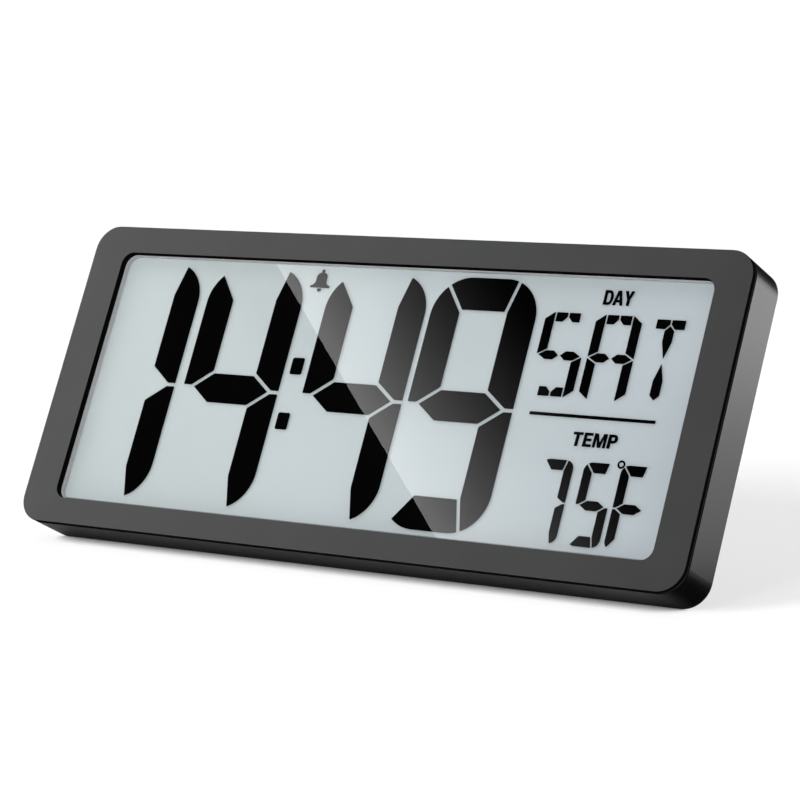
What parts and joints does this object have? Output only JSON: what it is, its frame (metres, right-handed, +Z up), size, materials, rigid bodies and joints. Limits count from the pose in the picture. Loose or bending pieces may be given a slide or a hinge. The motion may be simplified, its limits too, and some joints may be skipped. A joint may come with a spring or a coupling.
{
  "type": "large digit day clock",
  "caption": "Wide leaning digital day clock with a large segment display behind a framed window, folding rear stand, rear buttons, hinged battery door and wall keyholes.",
  "frame": {"origin": "middle of the footprint of the leaning clock on the table, stand open", "axes": "+X to the right as seen from the front, +Y to the back, +Z up; the face looks along -Y and leans back"},
  "size_m": [0.36, 0.088, 0.1467],
  "materials": {
    "bezel": "fine matte charcoal",
    "housing": "satin near-black",
    "tape": "black foam tape",
    "lens": "clear gloss acrylic",
    "light_frame": "light grey satin",
    "cell_glass": "clear",
    "seal": "grey epoxy",
    "segment": "black liquid crystal",
    "reflector": "pale grey-green satin film",
    "holder": "white satin",
    "zebra": "matte",
    "board": "green solder mask",
    "resin": "gloss black resin",
    "tin": "bright tin",
    "capacitor": "blue sleeve",
    "switch_black": "matte",
    "steel": "zinc plated",
    "dark_steel": "blackened",
    "battery_wrap": "plain printed sleeve",
    "nickel": "nickel plated",
    "lead": "insulated wire",
    "control": "soft dark grey",
    "rubber": "matte"
  },
  "bodies": {
    "case": {"front_bezel": "bezel", "lens_tape": "tape", "front_lens": "lens", "display_frame": "light_frame", "lcd_front_glass": "cell_glass", "lcd_seal": "seal", "hour_digits": "segment", "minute_digits": "segment", "colon_dots": "segment", "alarm_bell": "segment", "rule_line": "segment", "day_letters": "segment", "temperature_digits": "segment", "degree_ring": "segment", "lcd_rear_glass": "cell_glass", "lcd_reflector": "reflector", "lcd_holder": "holder", "zebra_strips": "zebra", "main_board": "board", "clock_chip": "resin", "quartz_crystal": "tin", "capacitors": "capacitor", "tact_switches": "switch_black", "slide_switch": "switch_black", "buzzer": "switch_black", "thermistor": "resin", "board_screws": "steel", "holder_screws": "steel", "case_screws": "dark_steel", "rear_housing": "housing", "battery_cells": "battery_wrap", "battery_contacts": "nickel", "battery_leads": "lead"},
    "stand": {"stand": "housing", "stand_pin": "steel", "stand_foot": "rubber"},
    "battery_door": {"battery_door": "housing"},
    "alarm_knob": {"alarm_knob": "control"},
    "set_button": {"set_button": "control", "set_plunger": "switch_black"},
    "up_button": {"up_button": "control", "up_plunger": "switch_black"},
    "down_button": {"down_button": "control", "down_plunger": "switch_black"},
    "mode_button": {"mode_button": "control", "mode_plunger": "switch_black"},
    "snooze_button": {"snooze_button": "control", "snooze_plunger": "switch_black"}
  },
  "joints": [
    {"name": "stand_fold", "type": "hinge", "parent": "case", "child": "stand", "pos_m": [0, 0.0143, 0.07812], "axis": [-1, 0, 0], "range_deg": [0, 43]},
    {"name": "door_hinge", "type": "hinge", "parent": "case", "child": "battery_door", "pos_m": [-0.095, 0.00171, 0.05127], "axis": [-1, 0, 0], "range_deg": [0, 75]},
    {"name": "alarm_slide", "type": "slide", "parent": "case", "child": "alarm_knob", "axis": [1, 0, 0], "range_m": [0, 0.004]},
    {"name": "set_press", "type": "slide", "parent": "case", "child": "set_button", "axis": [0, -0.9011, 0.4337], "range_m": [0, 0.0008], "stiffness_N_per_m": 600, "springref_m": -0.0005},
    {"name": "up_press", "type": "slide", "parent": "case", "child": "up_button", "axis": [0, -0.9011, 0.4337], "range_m": [0, 0.0008], "stiffness_N_per_m": 600, "springref_m": -0.0005},
    {"name": "down_press", "type": "slide", "parent": "case", "child": "down_button", "axis": [0, -0.9011, 0.4337], "range_m": [0, 0.0008], "stiffness_N_per_m": 600, "springref_m": -0.0005},
    {"name": "mode_press", "type": "slide", "parent": "case", "child": "mode_button", "axis": [0, -0.9011, 0.4337], "range_m": [0, 0.0008], "stiffness_N_per_m": 600, "springref_m": -0.0005},
    {"name": "snooze_press", "type": "slide", "parent": "case", "child": "snooze_button", "axis": [0, -0.9011, 0.4337], "range_m": [0, 0.0008], "stiffness_N_per_m": 600, "springref_m": -0.0005}
  ]
}
